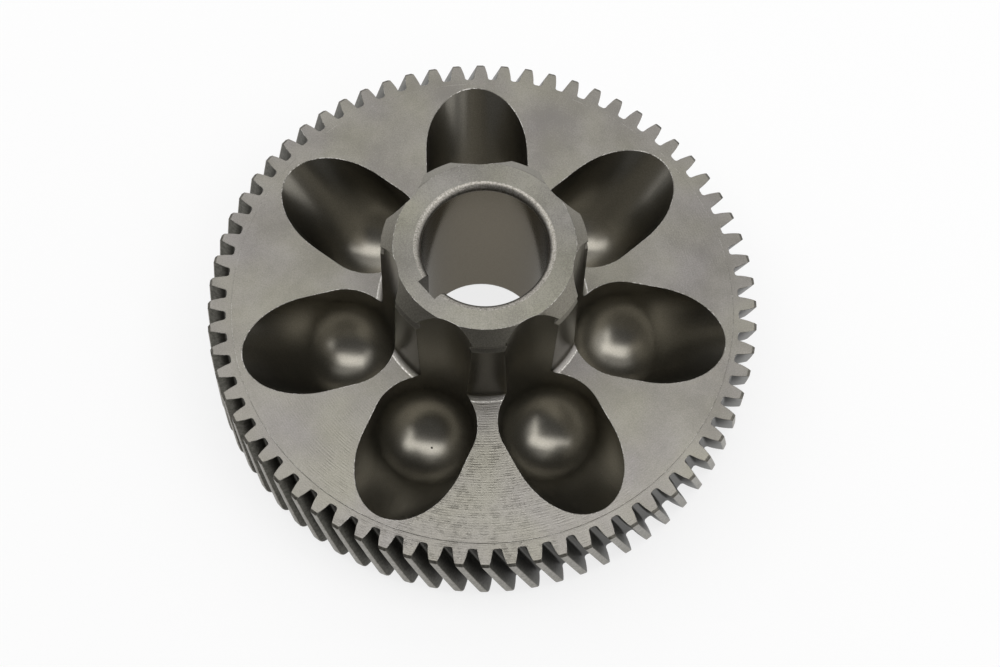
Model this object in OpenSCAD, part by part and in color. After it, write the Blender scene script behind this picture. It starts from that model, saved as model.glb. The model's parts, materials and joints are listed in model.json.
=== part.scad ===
// Helical gear wheel with a long hub, milled from one piece of steel.
// The axis is Z and the flat back face lies at z = 0, with the hub pointing up.
// One pocket lies on +Y and the keyway on -Y.

/* [Teeth] */
// Number of teeth
teeth = 68; // [60:1:90]
// Module across the teeth, at right angles to the helix
normal_module = 2; // [1.9:0.05:2.5]
// Pressure angle across the teeth
pressure_angle = 14.5; // [14.5:0.5:20]
// Helix angle at the pitch circle, left-handed
helix_angle = 16.7; // [5:0.1:25]
// Height of a tooth above the pitch circle
addendum = 2.4; // [1.6:0.05:2.6]
// Depth of a tooth space below the pitch circle
dedendum = 2.45; // [2.2:0.05:2.8]
// Rounding at the bottom of each tooth space
root_fillet = 0.75; // [0.3:0.05:0.8]
// Chamfer along the tooth tips at both faces
tip_chamfer = 0.65; // [0.2:0.05:1]
// Width of the toothed rim
face_w = 24.3; // [18:0.1:40]
// Angle of the first tooth from +X, at the front face
tooth_phase = 2.1; // [0:0.1:6]

/* [Web] */
// Height of the web's front face above the front faces of the teeth
web_rise = 0.3; // [0.1:0.05:1]
// Distance from the edge of the raised web to the bottom of the tooth spaces
rim_step = 1.5; // [1:0.1:3]

/* [Hub] */
// Diameter of the hub
hub_d = 53.3; // [50:0.1:60]
// Height of the hub's end above the back face
hub_h = 61.1; // [50:0.1:90]
// Diameter of the hub's flat end face
hub_end_d = 46.6; // [40:0.1:49]
// Length of the cone that leads onto the hub
hub_cone_h = 3.5; // [1:0.1:8]
// Width of the groove below the cone
groove_w = 3.5; // [2:0.1:6]
// Depth of the groove below the cone
groove_depth = 0.9; // [0.3:0.1:1.5]
// Rounding where the hub meets the web
hub_fillet = 1.8; // [0.5:0.1:3]

/* [Bore] */
// Diameter of the bore
bore_d = 32.5; // [24:0.1:36]
// Rounding of the bore's two mouths
bore_round = 1.9; // [0.5:0.1:2.4]
// Width of the keyway
key_w = 6.3; // [4:0.1:10]
// Depth of the keyway from the bore's wall
key_depth = 3.1; // [1:0.1:4]

/* [Pockets] */
// Number of pockets
pockets = 7; // [3:1:7]
// Radius of a pocket's round end and of its ball-shaped floor
pocket_r = 13.8; // [10:0.1:15]
// How far a pocket bites into the side of the hub, at the web
pocket_bite = 2.45; // [1.5:0.05:4]
// Lean of a pocket's inner wall towards the hub
pocket_lean = 2; // [0:0.1:3]
// Thickness left under the deepest point of a pocket
pocket_floor = 3; // [2:0.1:6]
// Width of the web between a pocket's outer end and the edge of the raised web
pocket_land = 1.5; // [0.5:0.1:6]

/* [Hidden] */
$fn = 128;

// The tooth form in the plane of rotation
transverse_module = normal_module / cos(helix_angle);
transverse_angle = atan(tan(pressure_angle) / cos(helix_angle));
pitch_r = teeth * transverse_module / 2;
base_r = pitch_r * cos(transverse_angle);
tip_r = pitch_r + addendum;
root_r = pitch_r - dedendum;
foot_r = max(root_r + root_fillet, base_r);
pitch_angle = 360 / teeth;
turn_per_mm = tan(helix_angle) / pitch_r * 180 / PI;

// Steps along a flank, round a root fillet and along the helix
flank_steps = 4;
fillet_steps = 2;
helix_steps = 2;

// The toothed rim reaches this far inside the raised web, short of the pockets
rim_overlap = pocket_land / 2;

// Heights and radii of the turned body
web_top = face_w + web_rise;
web_r = root_r - rim_step;
hub_r = hub_d / 2;
hub_end_r = hub_end_d / 2;
cone_low = hub_h - hub_cone_h;
groove_low = cone_low - groove_w;
bore_r = bore_d / 2;

// A pocket is the path of a ball-ended cutter: down beside the hub to ball_x, ball_z,
// then up a ramp that ends at pocket_end on the web's front face
pocket_end = web_r - pocket_land;
ball_z = pocket_floor + pocket_r;
ball_depth = web_top - ball_z;
ball_x = hub_r - pocket_bite + pocket_r + ball_depth * tan(pocket_lean);
ramp_run = pocket_end - ball_x;
ramp_angle = atan2(ball_depth, ramp_run) + asin(pocket_r / norm([ramp_run, ball_depth]));
cutter_l = hub_h + pocket_r;
// The ramp's wall and the flat sides stay these angles short of the ball's widest line
ramp_turn = 3;
side_turn = 5;
clear = 1;

// Half of the angle that a tooth takes up at radius r
function involute_turn(r) = let (a = acos(min(1, base_r / r))) tan(a) * 180 / PI - a;
function half_tooth(r) = pitch_angle / 4 + involute_turn(pitch_r) - involute_turn(r);

// One side of a tooth, from the middle of the tooth space up to the tip, as [radius, half angle]
function tooth_side(tip) = concat(
    [for (i = [fillet_steps:-1:1]) let (a = 90 * i / fillet_steps)
        [foot_r - (foot_r - root_r) * sin(a),
         half_tooth(foot_r) + root_fillet * (1 - cos(a)) / foot_r * 180 / PI]],
    [for (i = [0:flank_steps]) let (r = foot_r + (tip - foot_r) * i / flank_steps)
        [r, half_tooth(r)]]
);

side_points = fillet_steps + flank_steps + 1;
tooth_points = 2 * side_points;
ring_points = teeth * tooth_points;

// All teeth at height z, counter-clockwise, with the helix's turn at that height
function toothed_outline(z, tip) = let (
        side = tooth_side(tip),
        turn = tooth_phase + (face_w - z) * turn_per_mm
    )
    [for (t = [0:teeth - 1], k = [0:tooth_points - 1]) let (
            up = k < side_points,
            p = up ? side[k] : side[tooth_points - 1 - k],
            a = turn + t * pitch_angle + (up ? -p[1] : p[1])
        )
        [p[0] * cos(a), p[0] * sin(a), z]];

// Two points for each tooth on the rim's hidden inner wall, in line with the tooth's feet
function inner_outline(z) = let (
        r = web_r - rim_overlap,
        foot_turn = tooth_side(tip_r)[0][1],
        turn = tooth_phase + (face_w - z) * turn_per_mm
    )
    [for (t = [0:teeth - 1], s = [-1, 1]) let (a = turn + t * pitch_angle + s * foot_turn)
        [r * cos(a), r * sin(a), z]];

layer_z = concat(
    [0],
    [for (i = [0:helix_steps]) tip_chamfer + (face_w - 2 * tip_chamfer) * i / helix_steps],
    [face_w]
);
last_layer = len(layer_z) - 1;
function layer_tip(i) = i == 0 || i == last_layer ? tip_r - tip_chamfer : tip_r;

// Points are numbered layer by layer, then the inner wall's lower and upper rings
inner_low = len(layer_z) * ring_points;
inner_high = inner_low + 2 * teeth;
function quad(a, b, c, d) = [[a, b, c], [a, c, d]];

// Face of one tooth and of the rim below it, at the layer that starts at point number first
function end_face(first, inner) = [for (t = [0:teeth - 1]) let (
            start = first + t * tooth_points,
            end = start + tooth_points - 1,
            next = first + (t + 1) % teeth * tooth_points,
            here = inner + 2 * t,
            there = inner + (2 * t + 2) % (2 * teeth)
        )
        each concat(
            [for (k = [0:side_points - 2]) each quad(start + k, start + k + 1, end - k - 1, end - k)],
            quad(here, start, end, here + 1),
            quad(here + 1, end, next, there)
        )];

// The faces are listed clockwise as seen from outside the solid
function reversed(faces) = [for (f = faces) [f[2], f[1], f[0]]];
tooth_faces = [for (i = [0:last_layer - 1], k = [0:ring_points - 1]) let (
        low = i * ring_points,
        high = low + ring_points,
        n = (k + 1) % ring_points
    )
    each quad(low + k, high + k, high + n, low + n)];
inner_faces = [for (k = [0:2 * teeth - 1]) let (n = (k + 1) % (2 * teeth))
    each quad(inner_low + n, inner_high + n, inner_high + k, inner_low + k)];

module toothed_rim() {
    polyhedron(
        points = concat(
            [for (i = [0:last_layer]) each toothed_outline(layer_z[i], layer_tip(i))],
            inner_outline(0),
            inner_outline(face_w)
        ),
        faces = concat(
            tooth_faces,
            inner_faces,
            end_face(0, inner_low),
            reversed(end_face(last_layer * ring_points, inner_high))
        )
    );
}

// The corner that a rounding of radius r leaves outside it, with the corner at the origin
module corner(r) {
    difference() {
        square(r);
        translate([r, r]) circle(r);
    }
}

// Half section of web, hub, cone and rounded bore
module turned_section() {
    difference() {
        union() {
            translate([bore_r, 0]) square([web_r - bore_r, web_top]);
            polygon([
                [bore_r, 0],
                [hub_r, 0],
                [hub_r, cone_low],
                [hub_end_r, hub_h],
                [bore_r, hub_h]
            ]);
            translate([hub_r, web_top]) corner(hub_fillet);
        }
        translate([bore_r, 0]) corner(bore_round);
        translate([bore_r, hub_h]) mirror([0, 1]) corner(bore_round);
    }
}

module keyway() {
    translate([-key_w / 2, -bore_r - key_depth, -clear])
        cube([key_w, bore_r + key_depth, hub_h + 2 * clear]);
}

// The groove below the cone, with a bevelled lower edge
module groove() {
    floor_r = hub_r - groove_depth;
    rotate_extrude()
        polygon([
            [floor_r, cone_low],
            [floor_r, groove_low + groove_depth],
            [hub_r + clear, groove_low - clear],
            [hub_r + clear, cone_low]
        ]);
}

// Half section of the ball-ended cutter, with the centre of its ball at the origin
module cutter_section() {
    intersection() {
        union() {
            circle(pocket_r);
            square([pocket_r, cutter_l]);
        }
        translate([0, -pocket_r]) square([pocket_r, cutter_l + pocket_r]);
    }
}

// One pocket on +X: the cutter beside the hub, the ramp and the flat sides between them
module pocket() {
    translate([ball_x, 0, ball_z]) {
        rotate([0, -pocket_lean, 0]) rotate_extrude() cutter_section();
        rotate([0, 90 - ramp_angle, 0])
            cylinder(h = cutter_l, r = pocket_r * cos(ramp_turn));
        rotate([90, 0, 0])
            linear_extrude(2 * pocket_r * cos(side_turn), center = true)
                polygon([
                    [0, 0],
                    [cutter_l * cos(ramp_angle), cutter_l * sin(ramp_angle)],
                    [-cutter_l * sin(pocket_lean), cutter_l * cos(pocket_lean)]
                ]);
    }
}

module hub_and_web() {
    difference() {
        difference() {
            rotate_extrude() turned_section();
            keyway();
            for (i = [0:pockets - 1]) rotate(90 + i * 360 / pockets) pocket();
        }
        groove();
    }
}

module gear_wheel() {
    color("darkgray") {
        toothed_rim();
        hub_and_web();
    }
}

gear_wheel();
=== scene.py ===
import json
import math
import bpy
import bmesh
from mathutils import Matrix, Vector


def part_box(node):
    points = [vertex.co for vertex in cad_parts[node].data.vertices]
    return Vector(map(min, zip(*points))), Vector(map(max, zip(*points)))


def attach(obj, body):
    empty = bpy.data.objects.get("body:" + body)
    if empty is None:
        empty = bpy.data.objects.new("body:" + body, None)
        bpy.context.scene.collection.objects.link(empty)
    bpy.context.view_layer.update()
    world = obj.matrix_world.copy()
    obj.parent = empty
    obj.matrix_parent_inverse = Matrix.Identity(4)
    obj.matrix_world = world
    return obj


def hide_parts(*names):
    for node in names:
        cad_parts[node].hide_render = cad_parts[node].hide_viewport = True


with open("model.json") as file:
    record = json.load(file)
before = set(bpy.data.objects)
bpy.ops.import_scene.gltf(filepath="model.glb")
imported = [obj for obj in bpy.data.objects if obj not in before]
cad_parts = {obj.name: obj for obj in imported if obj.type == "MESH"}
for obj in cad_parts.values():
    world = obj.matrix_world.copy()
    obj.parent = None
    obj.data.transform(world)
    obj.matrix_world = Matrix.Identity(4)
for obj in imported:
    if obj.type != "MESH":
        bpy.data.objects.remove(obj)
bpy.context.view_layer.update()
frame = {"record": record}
cadLow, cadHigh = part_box("gear_wheel")
boreMount = next(m for m in frame["record"]["mounts"] if m["name"] == "bore")
mm = 0.001
print("frame loaded, the wheel is", round(cadHigh.x - cadLow.x, 4), "m across")

# How close counts as touching, in millimetres
closeness = {"merge": 0.002, "join": 0.003, "sameHeight": 0.001, "onWall": 0.01, "shortest": 0.01}

finishes = [
    "turnedFace", "endFace", "boreWall", "boreMouth", "hubSide", "hubCone", "pocketWall", "keyWall",
    "toothFlank", "toothTip", "toothChamfer", "brokenEdge", "hubEdge", "hubFootHighlight",
]
finishOf = {name: i for i, name in enumerate(finishes)}


def vertsOf(geom):
    return [g for g in geom if isinstance(g, bmesh.types.BMVert)]


def edgesOf(geom):
    return [g for g in geom if isinstance(g, bmesh.types.BMEdge)]


def facesOf(geom):
    return [g for g in geom if isinstance(g, bmesh.types.BMFace)]


def edgesWithin(geom, verts):
    inside = set(verts)
    return [e for e in edgesOf(geom) if e.verts[0] in inside and e.verts[1] in inside]


def endsOf(edges):
    return sorted(dict.fromkeys(v for e in edges for v in e.verts), key=lambda v: v.index)


def openEdgeCount(bm):
    return sum(not e.is_manifold for e in bm.edges)


def polarSpot(radius, degrees, z=0.0):
    a = math.radians(degrees)
    return Vector((radius * math.cos(a), radius * math.sin(a), z))


def turnedBy(degrees, size=3):
    return Matrix.Rotation(math.radians(degrees), size, "Z")


def distanceOut(point):
    return math.hypot(point.x, point.y)


def repeatRound(bm, count):
    bmesh.ops.spin(
        bm, geom=bm.verts[:] + bm.edges[:] + bm.faces[:], cent=(0, 0, 0), axis=(0, 0, 1), dvec=(0, 0, 0),
        angle=2 * math.pi * (count - 1) / count, steps=count - 1, use_duplicate=True,
    )


# A cut or a merge can leave the parts in another order each time, so they are put in one order
def sortMesh(bm):
    def byPlace(v):
        return tuple(v.co)

    def byVerts(part):
        return sorted(v.index for v in part.verts)

    for parts, key in ((bm.verts, byPlace), (bm.edges, byVerts), (bm.faces, byVerts)):
        rank = {part: i for i, part in enumerate(sorted(parts, key=key))}
        parts.sort(key=rank.get)
        parts.index_update()


def mergeAndPointOut(bm, within):
    bmesh.ops.remove_doubles(bm, verts=bm.verts[:], dist=within * mm)
    bmesh.ops.recalc_face_normals(bm, faces=bm.faces[:])


def showMesh(name, bm, materials):
    mesh = bpy.data.meshes.new(name)
    bm.to_mesh(mesh)
    bm.free()
    obj = bpy.data.objects.new(name, mesh)
    for m in materials:
        mesh.materials.append(m)
    bpy.context.scene.collection.objects.link(obj)
    return obj


# Sizes are in millimetres and degrees. Each row of backEnd is a height above the back face,
# how far the tip is rounded away there, and how far the flanks are moved in
teeth = {
    "count": 68,
    "normalModule": 2.0,
    "pressureAngle": 14.5,
    "helixAngle": 16.7,
    "faceWidth": 24.3,
    "tipRadius": 73.392,
    "dedendum": 2.45,
    "rootFillet": 0.75,
    "tipRound": 0.22,
    "tipChamfer": 0.65,
    "edgeBreak": 0.09,
    "phase": 2.1,
    "filletSteps": 4,
    "flankSteps": 9,
    "roundSteps": 2,
    "landSteps": 2,
    "helixSteps": 12,
    "backEnd": [
        (0, 2.0, 0.7), (0.25, 1.4, 0.48), (0.7, 0.85, 0.28),
        (1.4, 0.4, 0.12), (2.2, 0.12, 0.04), (3.2, 0, 0),
    ],
}
helix = math.radians(teeth["helixAngle"])
teeth["pitchRadius"] = teeth["count"] * teeth["normalModule"] / 2 / math.cos(helix)
teeth["rootRadius"] = teeth["pitchRadius"] - teeth["dedendum"]
teeth["pitch"] = 360 / teeth["count"]
teeth["turnPerMm"] = math.degrees(math.tan(helix) / teeth["pitchRadius"])
transverseAngle = math.atan(math.tan(math.radians(teeth["pressureAngle"])) / math.cos(helix))
teeth["baseRadius"] = teeth["pitchRadius"] * math.cos(transverseAngle)

body = {
    "webStep": 0.3,
    "rimWall": 1.5,
    "hubRadius": 26.65,
    "hubTop": cadHigh.z / mm,
    "hubFillet": 1.8,
    "hubFilletSteps": 8,
    "endRadius": 23.3,
    "coneHeight": 3.5,
    "grooveWidth": 3.5,
    "grooveDepth": 0.9,
    "boreRadius": boreMount["dims"]["r_mm"],
    "boreRound": 1.9,
    "boreRoundSteps": 9,
    "segmentsPerTooth": 4,
}
body["webTop"] = teeth["faceWidth"] + body["webStep"]
body["webRadius"] = teeth["rootRadius"] - body["rimWall"]


# The involute gives half of the tooth's angle at each radius
def involuteTurn(radius):
    a = math.acos(min(1.0, teeth["baseRadius"] / radius))
    return math.degrees(math.tan(a) - a)


def halfTooth(radius):
    return teeth["pitch"] / 4 + involuteTurn(teeth["pitchRadius"]) - involuteTurn(radius)


# Radius and angle from the middle of a space, round the root, up the flank and over the shoulder
def toothSide(tip, rounding):
    t = teeth
    foot = t["rootRadius"] + t["rootFillet"]
    side = [(t["rootRadius"], t["pitch"] / 2)]
    for i in range(t["filletSteps"], 0, -1):
        a = math.pi / 2 * i / t["filletSteps"]
        out = math.degrees(t["rootFillet"] * (1 - math.cos(a)) / foot)
        side.append((foot - t["rootFillet"] * math.sin(a), halfTooth(foot) + out))
    shoulder = tip - rounding
    for i in range(t["flankSteps"] + 1):
        radius = foot + (shoulder - foot) * i / t["flankSteps"]
        side.append((radius, halfTooth(radius)))
    for i in range(1, t["roundSteps"] + 1):
        a = math.pi / 2 * i / t["roundSteps"]
        inward = math.degrees(rounding * (1 - math.cos(a)) / tip)
        side.append((shoulder + rounding * math.sin(a), halfTooth(shoulder) - inward))
    return side


# One tooth from the middle of one space to the middle of the next, moved in by inset
def toothOutline(tip, inset):
    side = toothSide(tip, teeth["tipRound"] + inset)
    land = [(tip, side[-1][1] * (2 * i / teeth["landSteps"] - 1)) for i in range(1, teeth["landSteps"])]
    flat = [polarSpot(r, -a) for r, a in side] + [polarSpot(r, a) for r, a in land]
    flat += [polarSpot(r, a) for r, a in reversed(side)]
    moved = [flat[0] - flat[0].normalized() * inset]
    for before, p, after in zip(flat, flat[1:], flat[2:]):
        along = (after - before).normalized()
        moved.append(p - Vector((along.y, -along.x, 0)) * inset)
    moved.append(flat[-1] - flat[-1].normalized() * inset)
    return moved


# Height, tip radius and inset of every outline of a tooth, from the back face up
def toothLayers():
    chamfer, edge, width, tip = (teeth[k] for k in ("tipChamfer", "edgeBreak", "faceWidth", "tipRadius"))
    layers = [(z, tip - drop, inset) for z, drop, inset in teeth["backEnd"]]
    backEnd = layers[-1][0]
    for i in range(1, teeth["helixSteps"] + 1):
        layers.append((backEnd + (width - chamfer - backEnd) * i / teeth["helixSteps"], tip, 0))
    return layers + [(width - edge, tip - chamfer + edge, 0), (width, tip - chamfer, edge)]


def layerSpots(z, tip, inset):
    turn = turnedBy(teeth["phase"] + (teeth["faceWidth"] - z) * teeth["turnPerMm"])
    return [(turn @ p + Vector((0, 0, z))) * mm for p in toothOutline(tip, inset)]


# One tooth is extruded up the helix, closed at both faces and repeated round the rim
def makeTeeth():
    bm = bmesh.new()
    station = bm.verts.layers.int.new("station")
    layers = toothLayers()
    row = [bm.verts.new(p) for p in layerSpots(*layers[0])]
    for i, v in enumerate(row):
        v[station] = i
    edges = [bm.edges.new(pair) for pair in zip(row, row[1:])]
    firstRow = row
    shoulder = teeth["filletSteps"] + teeth["flankSteps"] + 1
    for n, layer in enumerate(layers[1:], 1):
        grown = bmesh.ops.extrude_edge_only(bm, edges=edges)["geom"]
        row = sorted(vertsOf(grown), key=lambda v: v[station])
        edges = edgesWithin(grown, row)
        for v, spot in zip(row, layerSpots(*layer)):
            v.co = spot
        for f in facesOf(grown):
            stations = sorted(v[station] for v in f.verts)
            onTip = stations[0] >= shoulder and stations[-1] <= len(row) - 1 - shoulder
            f.material_index = finishOf["toothTip" if onTip else "toothFlank"]
            if onTip and n >= len(layers) - 2:
                f.material_index = finishOf["toothChamfer"]
            elif n == len(layers) - 1:
                f.material_index = finishOf["brokenEdge"]

    # Both faces end on the segments of the blank's wall
    segment = teeth["pitch"] / body["segmentsPerTooth"]
    for z, outline in ((0, firstRow), (teeth["faceWidth"], row)):
        twist = round((teeth["faceWidth"] - z) * teeth["turnPerMm"] / segment) * segment
        firstTurn = twist + teeth["phase"] + teeth["pitch"] / 2
        arc = [bm.verts.new(polarSpot(body["webRadius"], firstTurn - k * segment, z) * mm)
               for k in range(body["segmentsPerTooth"] + 1)]
        loop = outline + arc
        rim = [bm.edges.get(pair) or bm.edges.new(pair) for pair in zip(loop, loop[1:] + loop[:1])]
        for f in bmesh.ops.contextual_create(bm, geom=rim)["faces"]:
            f.material_index = finishOf["turnedFace"]
    repeatRound(bm, teeth["count"])
    mergeAndPointOut(bm, closeness["merge"])
    return bm


# Half the section is drawn with sharp corners, which are rounded before it is spun
def makeBlank():
    b = body
    coneLow = b["hubTop"] - b["coneHeight"]
    grooveLow = coneLow - b["grooveWidth"]
    grooveRadius = b["hubRadius"] - b["grooveDepth"]
    boreRounding = (b["boreRound"], b["boreRoundSteps"])
    corners = [
        (b["boreRadius"], 0, boreRounding),
        (b["webRadius"], 0, None),
        (b["webRadius"], teeth["faceWidth"], None),
        (b["webRadius"], b["webTop"], None),
        (b["hubRadius"], b["webTop"], (b["hubFillet"], b["hubFilletSteps"])),
        (b["hubRadius"], grooveLow, None),
        (grooveRadius, grooveLow + b["grooveDepth"], None),
        (grooveRadius, coneLow, None),
        (b["hubRadius"], coneLow, None),
        (b["endRadius"], b["hubTop"], None),
        (b["boreRadius"], b["hubTop"], boreRounding),
    ]
    bm = bmesh.new()
    ring = [bm.verts.new((r * mm, 0, z * mm)) for r, z, rounding in corners]
    for pair in zip(ring, ring[1:] + ring[:1]):
        bm.edges.new(pair)
    for v, corner in zip(ring, corners):
        if corner[2]:
            size, steps = corner[2]
            bmesh.ops.bevel(bm, geom=[v], affect="VERTICES", offset=size * mm, offset_type="OFFSET",
                            segments=steps, profile=0.5, material=-1)
    start = turnedBy(teeth["phase"] + teeth["pitch"] / 2)
    bmesh.ops.rotate(bm, verts=bm.verts[:], cent=(0, 0, 0), matrix=start)
    bmesh.ops.spin(
        bm, geom=bm.verts[:] + bm.edges[:], cent=(0, 0, 0), axis=(0, 0, 1), dvec=(0, 0, 0),
        angle=2 * math.pi, steps=teeth["count"] * b["segmentsPerTooth"], use_merge=True,
    )
    mergeAndPointOut(bm, closeness["merge"])
    near = closeness["onWall"]
    for f in bm.faces:
        spot = f.calc_center_median() / mm
        if distanceOut(spot) < b["boreRadius"] + near:
            name = "boreWall"
        elif distanceOut(spot) < b["boreRadius"] + b["boreRound"] - near:
            name = "boreMouth"
        elif b["webTop"] + b["hubFillet"] / 2 < spot.z < coneLow:
            name = "hubSide"
        elif coneLow < spot.z < b["hubTop"] - near:
            name = "hubCone"
        elif spot.z > coneLow:
            name = "endFace"
        else:
            name = "turnedFace"
        f.material_index = finishOf[name]
    return bm


pocket = {
    "count": 7,
    "radius": 13.8,
    "bite": 2.45,
    "lean": 2.0,
    "floor": 3.0,
    "land": 1.5,
    "firstTurn": 90.0,
    "pastHub": 8.0,
    "rampLength": 42.0,
    "arcSteps": 40,
    "elbowSteps": 30,
}


# Both ends, the flat sides and the slanting top close the swept surface
def closeCutter(bm, wallTop, slopeTop):
    ends = {}
    for name, verts in (("wall", wallTop), ("slope", slopeTop)):
        ends[name] = sorted((v for v in verts if v.is_valid), key=lambda v: v.co.y)
        bm.edges.new((ends[name][0], ends[name][-1]))
    for side in (0, -1):
        bm.edges.new((ends["wall"][side], ends["slope"][side]))
    openEdges = [e for e in bm.edges if len(e.link_faces) < 2]
    for name in ends:
        rim = set(ends[name])
        bmesh.ops.contextual_create(bm, geom=[e for e in openEdges if set(e.verts) <= rim])
    for side in (-1, 1):
        flank = [e for e in openEdges if all(
            abs(v.co.y - side * pocket["radius"] * mm) < closeness["sameHeight"] * mm for v in e.verts)]
        bmesh.ops.contextual_create(bm, geom=flank)
    bmesh.ops.contextual_create(bm, geom=[e for e in openEdges if len(e.link_faces) == 1])


# A half circle is swept down beside the hub, round the ball and up the ramp
def makePocketCutters():
    p = pocket
    r = p["radius"]
    lean = math.radians(p["lean"])
    ballZ = p["floor"] + r
    depth = body["webTop"] - ballZ
    ballX = body["hubRadius"] - p["bite"] + r + depth * math.tan(lean)
    run = body["webRadius"] - p["land"] - ballX
    ramp = math.atan2(depth, run) + math.asin(r / math.hypot(run, depth))
    up = Vector((-math.sin(lean), 0, math.cos(lean)))
    out = Vector((math.cos(ramp), 0, math.sin(ramp)))
    bm = bmesh.new()
    start = bm.verts.new((0, r * mm, 0))
    bmesh.ops.spin(bm, geom=[start], cent=(0, 0, 0), axis=up, dvec=(0, 0, 0), angle=math.pi,
                   steps=p["arcSteps"])
    arc = bm.edges[:]
    wallTop = vertsOf(bmesh.ops.extrude_edge_only(bm, edges=arc)["geom"])
    bmesh.ops.translate(bm, verts=wallTop, vec=up * (body["hubTop"] + p["pastHub"] - ballZ) * mm)
    elbow = bmesh.ops.spin(
        bm, geom=arc + endsOf(arc), cent=(0, 0, 0), axis=(0, -1, 0), dvec=(0, 0, 0),
        angle=math.pi / 2 + ramp - lean, steps=p["elbowSteps"],
    )["geom_last"]
    slopeTop = vertsOf(bmesh.ops.extrude_edge_only(bm, edges=edgesOf(elbow))["geom"])
    bmesh.ops.translate(bm, verts=slopeTop, vec=out * p["rampLength"] * mm)
    bmesh.ops.remove_doubles(bm, verts=bm.verts[:], dist=closeness["merge"] * mm)
    closeCutter(bm, wallTop, slopeTop)
    bmesh.ops.translate(bm, verts=bm.verts[:], vec=Vector((ballX, 0, ballZ)) * mm)
    bmesh.ops.rotate(bm, verts=bm.verts[:], cent=(0, 0, 0), matrix=turnedBy(p["firstTurn"]))
    repeatRound(bm, p["count"])
    for f in bm.faces:
        f.material_index = finishOf["pocketWall"]
    return bm


keyway = {"width": 6.3, "depth": 3.1, "pastFaces": 2.0}


def addKeyCutter(bm):
    depth = body["boreRadius"] + keyway["depth"]
    height = body["hubTop"] + 2 * keyway["pastFaces"]
    size = Matrix.Diagonal((keyway["width"] * mm, depth * mm, height * mm, 1))
    place = Matrix.Translation((0, -depth / 2 * mm, body["hubTop"] / 2 * mm))
    made = bmesh.ops.create_cube(bm, size=1, matrix=place @ size)
    for f in {f for v in made["verts"] for f in v.link_faces}:
        f.material_index = finishOf["keyWall"]


def cutAway(target, cutter):
    cut = target.modifiers.new("cut", "BOOLEAN")
    cut.operation = "DIFFERENCE"
    cut.object = cutter
    cut.solver = "EXACT"
    seen = target.evaluated_get(bpy.context.evaluated_depsgraph_get())
    bm = bmesh.new()
    bm.from_mesh(seen.to_mesh())
    seen.to_mesh_clear()
    bpy.data.objects.remove(target)
    bpy.data.objects.remove(cutter)
    sortMesh(bm)
    return bm


# Level faces that meet at less than flatAngle, in radians, are one face
edgeBreak = {
    "size": 0.08,
    "rimSize": 0.17,
    "steps": 2,
    "sharpFrom": 20.0,
    "smoothBelow": 28.0,
    "mergeWithin": 0.06,
    "wallMargin": 0.1,
    "hubMargin": 0.5,
    "levelNormal": 0.99999,
    "flatAngle": 0.0005,
    "dissolveAngle": 0.001,
    "footHighlightHeights": (0.001, 0.04),
    "footHighlightWidth": 0.5,
}


def onOuterWall(v):
    return abs(distanceOut(v.co) - body["webRadius"] * mm) < closeness["onWall"] * mm


# Every sharp edge but the seam where the teeth will join
def sharpEdges(bm):
    seamTop = (teeth["faceWidth"] + closeness["onWall"]) * mm
    sharp = [e for e in bm.edges if e.calc_face_angle(0) > math.radians(edgeBreak["sharpFrom"])]
    return [e for e in sharp if not all(onOuterWall(v) and v.co.z < seamTop for v in e.verts)]


def bevelEdges(bm, edges, size):
    return bmesh.ops.bevel(
        bm, geom=edges, affect="EDGES", offset=size * mm, offset_type="OFFSET", segments=edgeBreak["steps"],
        profile=0.5, material=finishOf["brokenEdge"], clamp_overlap=False, loop_slide=True,
    )["faces"]


# Short edges go first, then every sharp edge gets a small break, wider along the web's rims
def breakEdges(bm):
    e = edgeBreak
    level = [edge for edge in bm.edges if edge.calc_face_angle(1) < e["flatAngle"]
             and all(abs(f.normal.z) > e["levelNormal"] for f in edge.link_faces)]
    bmesh.ops.dissolve_limit(bm, angle_limit=e["dissolveAngle"], use_dissolve_boundaries=False, verts=[],
                             edges=level, delimit={"MATERIAL"})
    sortMesh(bm)
    bmesh.ops.remove_doubles(bm, verts=endsOf(sharpEdges(bm)), dist=e["mergeWithin"] * mm)
    sortMesh(bm)
    bmesh.ops.dissolve_degenerate(bm, dist=closeness["shortest"] * mm, edges=bm.edges[:])
    sortMesh(bm)

    webTop = body["webTop"] * mm
    insideWall = (body["webRadius"] - e["wallMargin"]) * mm
    rims = [edge for edge in sharpEdges(bm)
            if all(abs(v.co.z - webTop) < closeness["sameHeight"] * mm for v in edge.verts)
            and distanceOut(edge.verts[0].co) < insideWall]
    made = bevelEdges(bm, rims, e["rimSize"])
    broken = finishOf["brokenEdge"]
    rest = [edge for edge in sharpEdges(bm) if not any(f.material_index == broken for f in edge.link_faces)]
    made += bevelEdges(bm, rest, e["size"])
    for v in bm.verts:
        v.co.z = min(max(v.co.z, 0), body["hubTop"] * mm)

    for f in made:
        if f.is_valid:
            z = f.calc_center_median().z / mm
            if body["webTop"] + e["hubMargin"] < z < body["hubTop"] - e["hubMargin"]:
                f.material_index = finishOf["hubEdge"]
    # A painted highlight, a bright ring of colour, lies where the hub's rounding ends
    roundingEnd = body["hubRadius"] + body["hubFillet"]
    highlightLow, highlightHigh = e["footHighlightHeights"]
    for f in bm.faces:
        spot = f.calc_center_median() / mm
        nearEnd = roundingEnd - e["footHighlightWidth"] < distanceOut(spot) < roundingEnd
        if highlightLow < spot.z - body["webTop"] < highlightHigh and nearEnd:
            f.material_index = finishOf["hubFootHighlight"]
    print("edges broken, open edges", openEdgeCount(bm))


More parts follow.
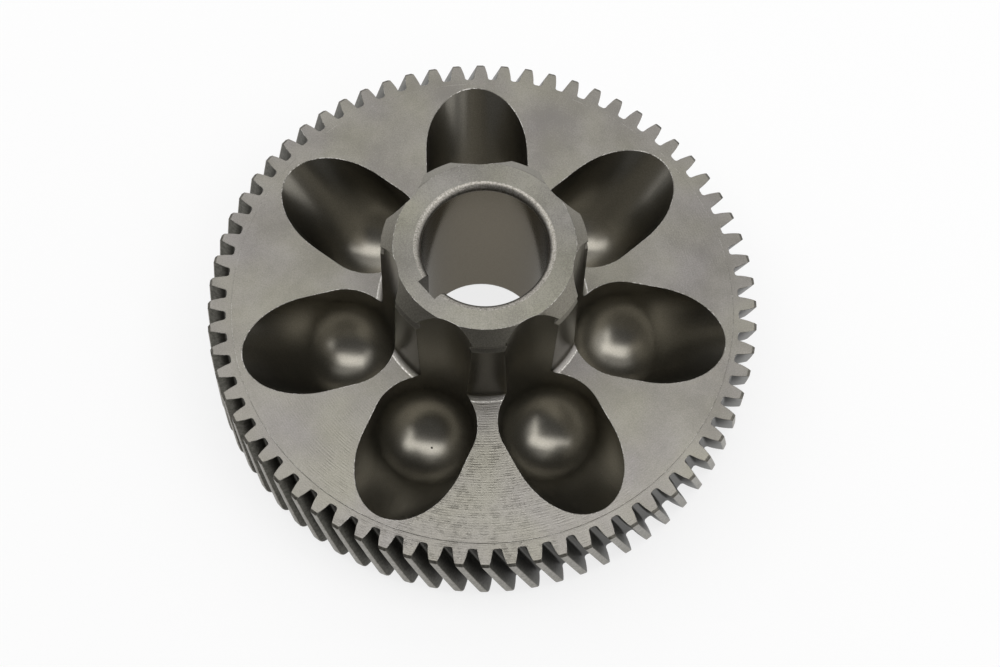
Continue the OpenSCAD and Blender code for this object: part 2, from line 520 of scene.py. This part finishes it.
def buildWheel(materials):
    blank = showMesh("blank", makeBlank(), materials)
    cutterMesh = makePocketCutters()
    addKeyCutter(cutterMesh)
    bmesh.ops.recalc_face_normals(cutterMesh, faces=cutterMesh.faces[:])
    print("cutter open edges", openEdgeCount(cutterMesh))
    bm = cutAway(blank, showMesh("cutter", cutterMesh, materials))
    print("blank cut, open edges", openEdgeCount(bm))
    breakEdges(bm)
    # The blank's outer wall, below the web's step, makes room for the teeth
    stepLow = (teeth["faceWidth"] - closeness["onWall"]) * mm
    outer = [f for f in bm.faces if all(onOuterWall(v) for v in f.verts)
             and min(v.co.z for v in f.verts) < stepLow]
    bmesh.ops.delete(bm, geom=outer, context="FACES")
    rim = makeTeeth()
    rimMesh = bpy.data.meshes.new("rim")
    rim.to_mesh(rimMesh)
    rim.free()
    bm.from_mesh(rimMesh)
    bpy.data.meshes.remove(rimMesh)
    mergeAndPointOut(bm, closeness["join"])
    print("wheel joined, open edges", openEdgeCount(bm), "faces", len(bm.faces),
          "volume", round(bm.calc_volume() / mm ** 3), "mm3")
    return showMesh("gearWheel", bm, materials)


# A metal and its nodes. An input is named, or i and its number where names repeat
class Shader:
    def __init__(self, name):
        self.material = bpy.data.materials.new(name)
        self.material.use_nodes = True
        self.tree = self.material.node_tree
        self.surface = next(n for n in self.tree.nodes if n.type == "BSDF_PRINCIPLED")
        self.place = self.add("ShaderNodeTexCoord").outputs["Object"]

    def add(self, kind, settings=None, **inputs):
        node = self.tree.nodes.new(kind)
        for key, value in (settings or {}).items():
            setattr(node, key, value)
        for key, value in inputs.items():
            self.feed(node, key, value)
        return node

    def feed(self, node, key, value):
        byNumber = key[0] == "i" and key[1:].isdigit()
        socket = node.inputs[int(key[1:]) if byNumber else key.replace("_", " ")]
        if isinstance(value, bpy.types.NodeSocket):
            self.tree.links.new(value, socket)
        else:
            socket.default_value = value

    def math(self, operation, a, b=0.0, c=0.0):
        return self.add("ShaderNodeMath", {"operation": operation}, i0=a, i1=b, i2=c).outputs[0]

    def vector(self, operation, a, b=(0, 0, 0)):
        return self.add("ShaderNodeVectorMath", {"operation": operation}, i0=a, i1=b)

    def spread(self, value, low, high, toLow=0.0, toHigh=1.0):
        node = self.add("ShaderNodeMapRange", Value=value, From_Min=low, From_Max=high, To_Min=toLow,
                        To_Max=toHigh)
        return node.outputs["Result"]

    def noise(self, scale, detail=3.0, roughness=0.6, vector=None):
        node = self.add("ShaderNodeTexNoise", Vector=vector or self.place, Scale=scale, Detail=detail,
                        Roughness=roughness)
        return node.outputs["Fac"]

    def blend(self, amount, low, high, kind="MIX"):
        node = self.add("ShaderNodeMix", {"data_type": "RGBA", "blend_type": kind}, i0=amount, i6=low,
                        i7=high)
        return node.outputs[2]

    def speckled(self, noise, dark, light):
        return self.blend(self.spread(noise, *grain["range"]), dark, light)

    def bump(self, height, strength, distance, normal=None):
        node = self.add("ShaderNodeBump", Height=height, Strength=strength, Distance=distance)
        if normal:
            self.feed(node, "Normal", normal)
        return node.outputs["Normal"]

    # X and Y alone point away from the wheel's axis
    def awayFromAxis(self):
        spot = self.add("ShaderNodeSeparateXYZ", Vector=self.place).outputs
        outward = self.add("ShaderNodeCombineXYZ", X=spot["X"], Y=spot["Y"]).outputs[0]
        return outward, self.vector("LENGTH", outward).outputs["Value"]

    def finish(self, **values):
        for key, value in values.items():
            self.feed(self.surface, key, value)
        return self.material


# Nearly all of a noise lies in this range, and the finish's grain is this deep in metres
grain = {"scale": 3000.0, "range": (0.35, 0.65), "depth": 0.00003, "strength": 0.15}

# Turning marks drift and break up, and are plainest where plainSide points, where the face's colour is also
# lightened as a painted sheen
turning = {
    "ringPitch": 0.0007,
    "ringNoise": 1400.0,
    "noiseAlong": 14.0,
    "drift": 9.0,
    "brokenScale": 400.0,
    "brokenRange": (0.42, 0.62),
    "plainSide": (0.723, -0.69, 0.0),
    "plainRange": (0.7, 0.98),
    "faint": 0.2,
    "depth": 0.00004,
    "paintedSheen": (0.98, 1.13),
    "grainStrength": 0.75,
    "patchScale": 70.0,
    "toneRange": (0.4, 0.62),
    "tintScale": 45.0,
    "coolTint": (0.97, 0.96, 1.0, 1),
    "warmTint": (1.02, 1.02, 0.96, 1),
    "roughness": (0.38, 0.48),
    "anisotropy": 0.5,
}


def makeTurnedFace(name, dark, light, ringStrength):
    t = turning
    sh = Shader(name)
    outward, radius = sh.awayFromAxis()
    scaled = sh.add("ShaderNodeVectorMath", {"operation": "SCALE"}, i0=outward, Scale=t["noiseAlong"])
    along = sh.add("ShaderNodeSeparateXYZ", Vector=scaled.outputs[0]).outputs
    across = sh.math("MULTIPLY", radius, t["ringNoise"])
    rings = sh.add("ShaderNodeCombineXYZ", X=along["X"], Y=along["Y"], Z=across).outputs[0]
    drift = sh.noise(1.0, 2.0, vector=rings)
    turns = sh.math("MULTIPLY", radius, 2 * math.pi / t["ringPitch"])
    wave = sh.math("SINE", sh.math("MULTIPLY_ADD", drift, t["drift"], turns))
    marks = sh.math("MULTIPLY", wave, sh.spread(sh.noise(t["brokenScale"], 4.0, 0.75), *t["brokenRange"]))
    facing = sh.vector("DOT_PRODUCT", outward, t["plainSide"]).outputs["Value"]
    plain = sh.spread(sh.math("DIVIDE", facing, radius), *t["plainRange"], t["faint"], 1.0)
    marks = sh.math("MULTIPLY", marks, plain)
    speckle = sh.noise(grain["scale"], 2.0, 0.7)
    patches = sh.noise(t["patchScale"], 4.0)
    tone = sh.math("MULTIPLY_ADD", speckle, 0.5, sh.math("MULTIPLY", patches, 0.5))
    shade = sh.blend(sh.spread(tone, *t["toneRange"]), dark, light)
    tint = sh.speckled(sh.noise(t["tintScale"], 2.0, 0.5), t["coolTint"], t["warmTint"])
    shade = sh.blend(1.0, shade, tint, "MULTIPLY")
    # Painted sheen: the colour is lifted on the side where the marks are plainest
    shade = sh.blend(1.0, shade, sh.spread(plain, t["faint"], 1.0, *t["paintedSheen"]), "MULTIPLY")
    normal = sh.bump(marks, ringStrength, t["depth"])
    normal = sh.bump(speckle, t["grainStrength"], grain["depth"], normal)
    return sh.finish(Base_Color=shade, Metallic=1.0, Roughness=sh.spread(patches, 0.3, 0.7, *t["roughness"]),
                     Normal=normal, Anisotropic=t["anisotropy"], Tangent=outward)


def makePlainMetal(name, dark, light, roughness, scale=grain["scale"], strength=grain["strength"],
                   edgeTint=1.0):
    sh = Shader(name)
    speckle = sh.noise(scale)
    sh.surface.inputs["Specular Tint"].default_value = (edgeTint, edgeTint, edgeTint, 1)
    return sh.finish(Base_Color=sh.speckled(speckle, dark, light), Metallic=1.0, Roughness=roughness,
                     Normal=sh.bump(speckle, strength, grain["depth"]))


# One small pore shows in the floor of a pocket, and its edge lies in poreRange, in pore radii
pocketFinish = {
    "dark": (0.22, 0.207, 0.176, 1),
    "light": (0.27, 0.256, 0.222, 1),
    "roughness": 0.29,
    "strength": 0.05,
    "poreColour": (0.015, 0.013, 0.009, 1),
    "poreAt": (0.01637, -0.03183, 0.00327),
    "poreRadius": 0.00036,
    "poreRange": (1.2, 1.5),
}


def makePocketWall():
    p = pocketFinish
    sh = Shader("milledPocketSteel")
    speckle = sh.noise(grain["scale"])
    shade = sh.speckled(speckle, p["dark"], p["light"])
    apart = sh.vector("DISTANCE", sh.place, p["poreAt"]).outputs["Value"]
    ragged = sh.math("MULTIPLY_ADD", speckle, p["poreRadius"], apart)
    poreLow, poreHigh = (share * p["poreRadius"] for share in p["poreRange"])
    shade = sh.blend(sh.spread(ragged, poreLow, poreHigh), p["poreColour"], shade)
    return sh.finish(Base_Color=shade, Metallic=1.0, Roughness=p["roughness"],
                     Normal=sh.bump(speckle, p["strength"], grain["depth"]))


# Painted shade: tooth spaces are painted darkest, in the deep colour, at their bottom, and reach their full
# colour at the height of the shade's rise, in millimetres
flankFinish = {
    "deep": (0.035, 0.033, 0.026, 1),
    "dark": (0.06, 0.058, 0.048, 1),
    "light": (0.12, 0.115, 0.1, 1),
    "shadeRise": 3.0,
    "grainScale": 1200.0,
    "roughness": 0.36,
}


def makeToothFlank():
    t = flankFinish
    sh = Shader("toothFlankSteel")
    radius = sh.awayFromAxis()[1]
    speckle = sh.noise(t["grainScale"])
    bright = sh.speckled(speckle, t["dark"], t["light"])
    # The painted shade fades from the root up to the flank's own colour
    shadeRise = sh.spread(radius, teeth["rootRadius"] * mm, (teeth["rootRadius"] + t["shadeRise"]) * mm)
    return sh.finish(Base_Color=sh.blend(shadeRise, t["deep"], bright), Metallic=1.0, Roughness=t["roughness"],
                     Normal=sh.bump(speckle, grain["strength"], grain["depth"]))


# Bright burrs come and go along an edge
burrFinish = {
    "dark": (0.165, 0.157, 0.138, 1),
    "light": (0.55, 0.535, 0.5, 1),
    "range": (0.22, 0.36),
    "grainScale": 1500.0,
    "patchScale": 150.0,
    "roughness": 0.4,
    "strength": 0.3,
}


def makeBrokenEdge():
    b = burrFinish
    sh = Shader("brokenEdgeSteel")
    burr = sh.math("MULTIPLY", sh.noise(b["grainScale"], 2.0), sh.noise(b["patchScale"], 2.0, 0.5))
    return sh.finish(Base_Color=sh.blend(sh.spread(burr, *b["range"]), b["dark"], b["light"]), Metallic=1.0,
                     Roughness=b["roughness"], Normal=sh.bump(burr, b["strength"], grain["depth"]))


turnedFinishes = {
    "turnedFace": {"name": "turnedSteelFace", "ringStrength": 0.9,
                   "dark": (0.23, 0.219, 0.196, 1), "light": (0.316, 0.303, 0.276, 1)},
    "endFace": {"name": "hubEndSteel", "ringStrength": 0.06,
                "dark": (0.189, 0.182, 0.158, 1), "light": (0.29, 0.281, 0.248, 1)},
}
plainFinishes = {
    "boreWall": {"name": "boredSteel", "roughness": 0.18, "strength": 0.08, "edgeTint": 0.6,
                 "dark": (0.21, 0.188, 0.148, 1), "light": (0.25, 0.225, 0.18, 1)},
    "boreMouth": {"name": "boreMouthSteel", "roughness": 0.42, "scale": 2200.0, "strength": 0.8,
                  "dark": (0.2, 0.187, 0.165, 1), "light": (0.42, 0.4, 0.36, 1)},
    "hubEdge": {"name": "hubEdgeSteel", "roughness": 0.4,
                "dark": (0.11, 0.103, 0.087, 1), "light": (0.17, 0.159, 0.135, 1)},
    # Painted highlight: a bright ring at the foot of the hub's rounding
    "hubFootHighlight": {"name": "hubFootPaintedHighlight", "roughness": 0.4, "scale": 1500.0, "strength": 0.3,
                "dark": (0.28, 0.268, 0.243, 1), "light": (0.7, 0.68, 0.64, 1)},
    "hubCone": {"name": "hubConeSteel", "roughness": 0.36, "scale": 2600.0,
                "dark": (0.18, 0.168, 0.14, 1), "light": (0.25, 0.236, 0.2, 1)},
    "hubSide": {"name": "hubSteel", "roughness": 0.35,
                "dark": (0.13, 0.122, 0.102, 1), "light": (0.17, 0.158, 0.132, 1)},
    "keyWall": {"name": "keywaySteel", "roughness": 0.4,
                "dark": (0.14, 0.128, 0.104, 1), "light": (0.2, 0.186, 0.156, 1)},
    "toothTip": {"name": "toothTipSteel", "roughness": 0.42, "scale": 1200.0,
                 "dark": (0.24, 0.23, 0.204, 1), "light": (0.38, 0.364, 0.33, 1)},
    "toothChamfer": {"name": "toothChamferSteel", "roughness": 0.5, "scale": 1200.0,
                     "dark": (0.1, 0.095, 0.082, 1), "light": (0.2, 0.19, 0.166, 1)},
}
materials = {key: makeTurnedFace(**values) for key, values in turnedFinishes.items()}
materials.update({key: makePlainMetal(**values) for key, values in plainFinishes.items()})
materials["pocketWall"] = makePocketWall()
materials["toothFlank"] = makeToothFlank()
materials["brokenEdge"] = makeBrokenEdge()
print("finishes made")

wheel = buildWheel([materials[name] for name in finishes])
wheel.data.shade_smooth()
wheel.data.set_sharp_from_angle(angle=math.radians(edgeBreak["smoothBelow"]))
weighted = wheel.modifiers.new("weightedNormals", "WEIGHTED_NORMAL")
weighted.keep_sharp = True
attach(wheel, "root")
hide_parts("gear_wheel")

# The studio has a pale floor, a long softbox overhead, one towards the front right and three dim panels.
# A panel without a turn faces the wheel
studio = {
    "viewTurn": 46.33,
    "surround": 0.16,
    "floorSize": 3.0,
    "floorColour": (0.9, 0.9, 0.9, 1),
    "floorRoughness": 0.9,
    "floorGlow": 0.8,
    "floorMirrored": 0.5,
    "panels": {
        "overheadSoftbox": {"place": (0.0, 0.05, 0.9), "turn": -6.0, "size": (1.66, 0.4), "radiance": 2.6},
        "sideSoftbox": {"place": (0.75, -0.75, 0.9), "turn": 112.0, "size": (1.6, 0.24), "radiance": 2.0},
        "backPanel": {"place": (0.0, 0.95, 0.74), "size": (2.0, 1.2), "radiance": 0.8},
        "leftPanel": {"place": (-1.0, 0.4, 0.75), "size": (1.5, 0.8), "radiance": 0.95},
        "rightPanel": {"place": (1.0, -0.05, 0.55), "size": (1.3, 1.1), "radiance": 0.85},
    },
}
turnToView = turnedBy(studio["viewTurn"], 4)


# The floor shows pale to the camera and in the metal, and still takes the wheel's shadow
def makeFloor():
    sh = Shader("paleFloor")
    sh.finish(Base_Color=studio["floorColour"], Roughness=studio["floorRoughness"], Specular_IOR_Level=0.0)
    path = sh.add("ShaderNodeLightPath").outputs
    mirrored = sh.math("MAXIMUM", path["Is Glossy Ray"], path["Is Transmission Ray"])
    seen = sh.math("MAXIMUM", sh.math("MULTIPLY", path["Is Camera Ray"], studio["floorGlow"]),
                   sh.math("MULTIPLY", mirrored, studio["floorMirrored"]))
    glow = sh.add("ShaderNodeEmission", Color=(1, 1, 1, 1), Strength=1.0)
    mix = sh.add("ShaderNodeMixShader", i0=seen, i1=sh.surface.outputs[0], i2=glow.outputs[0])
    output = next(n for n in sh.tree.nodes if n.type == "OUTPUT_MATERIAL")
    sh.feed(output, "Surface", mix.outputs[0])
    bm = bmesh.new()
    bmesh.ops.create_grid(bm, x_segments=1, y_segments=1, size=studio["floorSize"] / 2)
    showMesh("floor", bm, [sh.material])


def makePanel(name, panel):
    data = bpy.data.lights.new(name, "AREA")
    data.shape = "RECTANGLE"
    length, width = panel["size"]
    data.size = length
    data.size_y = width
    data.energy = panel["radiance"] * math.pi * length * width
    spot = Vector(panel["place"])
    if "turn" in panel:
        aim = turnedBy(panel["turn"], 4)
    else:
        aim = spot.to_track_quat("Z", "Y").to_matrix().to_4x4()
    lamp = bpy.data.objects.new(name, data)
    lamp.matrix_world = turnToView @ Matrix.Translation(spot) @ aim
    lamp.visible_camera = False
    bpy.context.scene.collection.objects.link(lamp)


# White where the camera sees it, and dim on the wheel
def makeSurround():
    world = bpy.data.worlds.new("studioWorld")
    world.use_nodes = True
    nodes, links = world.node_tree.nodes, world.node_tree.links
    sky = nodes["Background"]
    sky.inputs["Color"].default_value = (1, 1, 1, 1)
    path = nodes.new("ShaderNodeLightPath")
    level = nodes.new("ShaderNodeMapRange")
    level.inputs["To Min"].default_value = studio["surround"]
    level.inputs["To Max"].default_value = 1.0
    links.new(path.outputs["Is Camera Ray"], level.inputs["Value"])
    links.new(level.outputs["Result"], sky.inputs["Strength"])
    bpy.context.scene.world = world


makeFloor()
for name, panel in studio["panels"].items():
    makePanel(name, panel)
makeSurround()
print("studio made")

# Offset is in metres, across, up and back from the pivot, and the roll is in radians
camera = {
    "lens": 83.84,
    "sensor": 36.0,
    "pivot": (0, 0, 0.0243),
    "pitch": 23.27,
    "roll": 0.05345,
    "offset": (0.004581, -0.007844, 0.62238),
}
cameraData = bpy.data.cameras.new("camera")
cameraData.lens = camera["lens"]
cameraData.sensor_width = camera["sensor"]
cameraObject = bpy.data.objects.new("camera", cameraData)
cameraObject.matrix_world = (
    Matrix.Translation(camera["pivot"]) @ turnToView
    @ Matrix.Rotation(math.radians(camera["pitch"]), 4, "X") @ Matrix.Rotation(camera["roll"], 4, "Z")
    @ Matrix.Translation(camera["offset"])
)
bpy.context.scene.collection.objects.link(cameraObject)
bpy.context.scene.camera = cameraObject
bpy.context.scene.view_settings.view_transform = "Standard"

print("scene ready")
